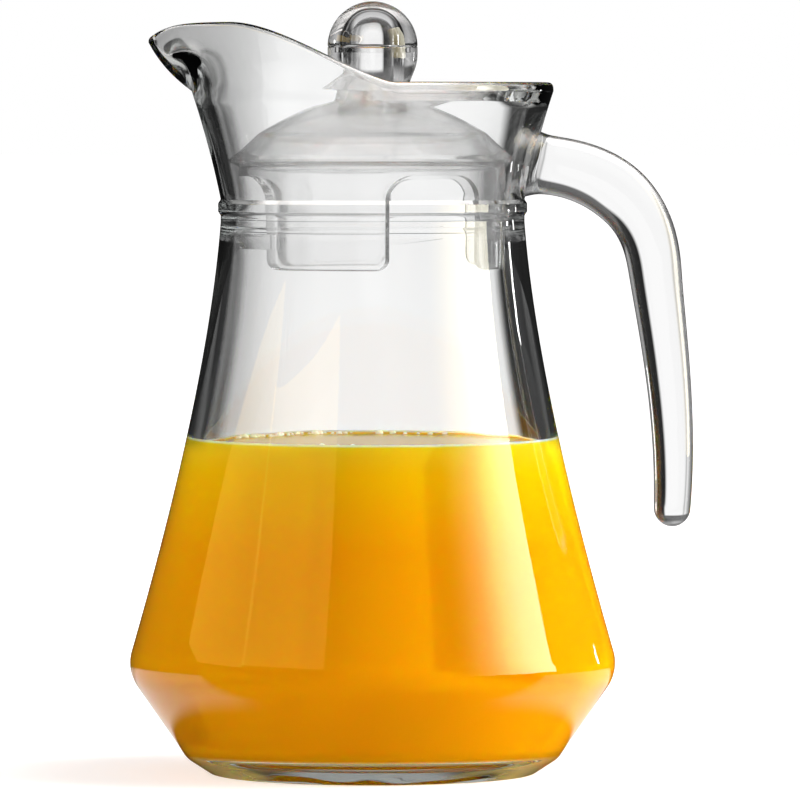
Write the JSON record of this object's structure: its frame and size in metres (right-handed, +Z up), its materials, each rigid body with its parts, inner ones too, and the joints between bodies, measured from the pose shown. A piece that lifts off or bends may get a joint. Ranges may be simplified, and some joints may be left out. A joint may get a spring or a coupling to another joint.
{
  "type": "lidded glass pitcher",
  "caption": "Cone-bellied clear glass pitcher with a drawn beak, an open tail handle and a clear lift-off lid with a ball knob and a windowed skirt.",
  "frame": {"origin": "centre of the foot ring, on the table", "axes": "+Z up along the jug's axis, +X towards the handle, -X towards the beak"},
  "size_m": [0.1544, 0.133, 0.2113],
  "materials": {
    "jug_glass": "clear polished soda glass, faint green in the thick base",
    "handle_glass": "clear fire-polished soda glass",
    "lid_plastic": "clear polished moulded plastic",
    "knob_plastic": "clear polished moulded plastic"
  },
  "bodies": {
    "jug": {"glass_jug": "jug_glass", "glass_handle": "handle_glass"},
    "lid": {"lid_body": "lid_plastic", "knob_cap": "knob_plastic"}
  },
  "joints": [
    {"name": "lid_lift", "type": "slide", "parent": "jug", "child": "lid", "axis": [0, 0, 1], "range_m": [0, 0.075]}
  ]
}
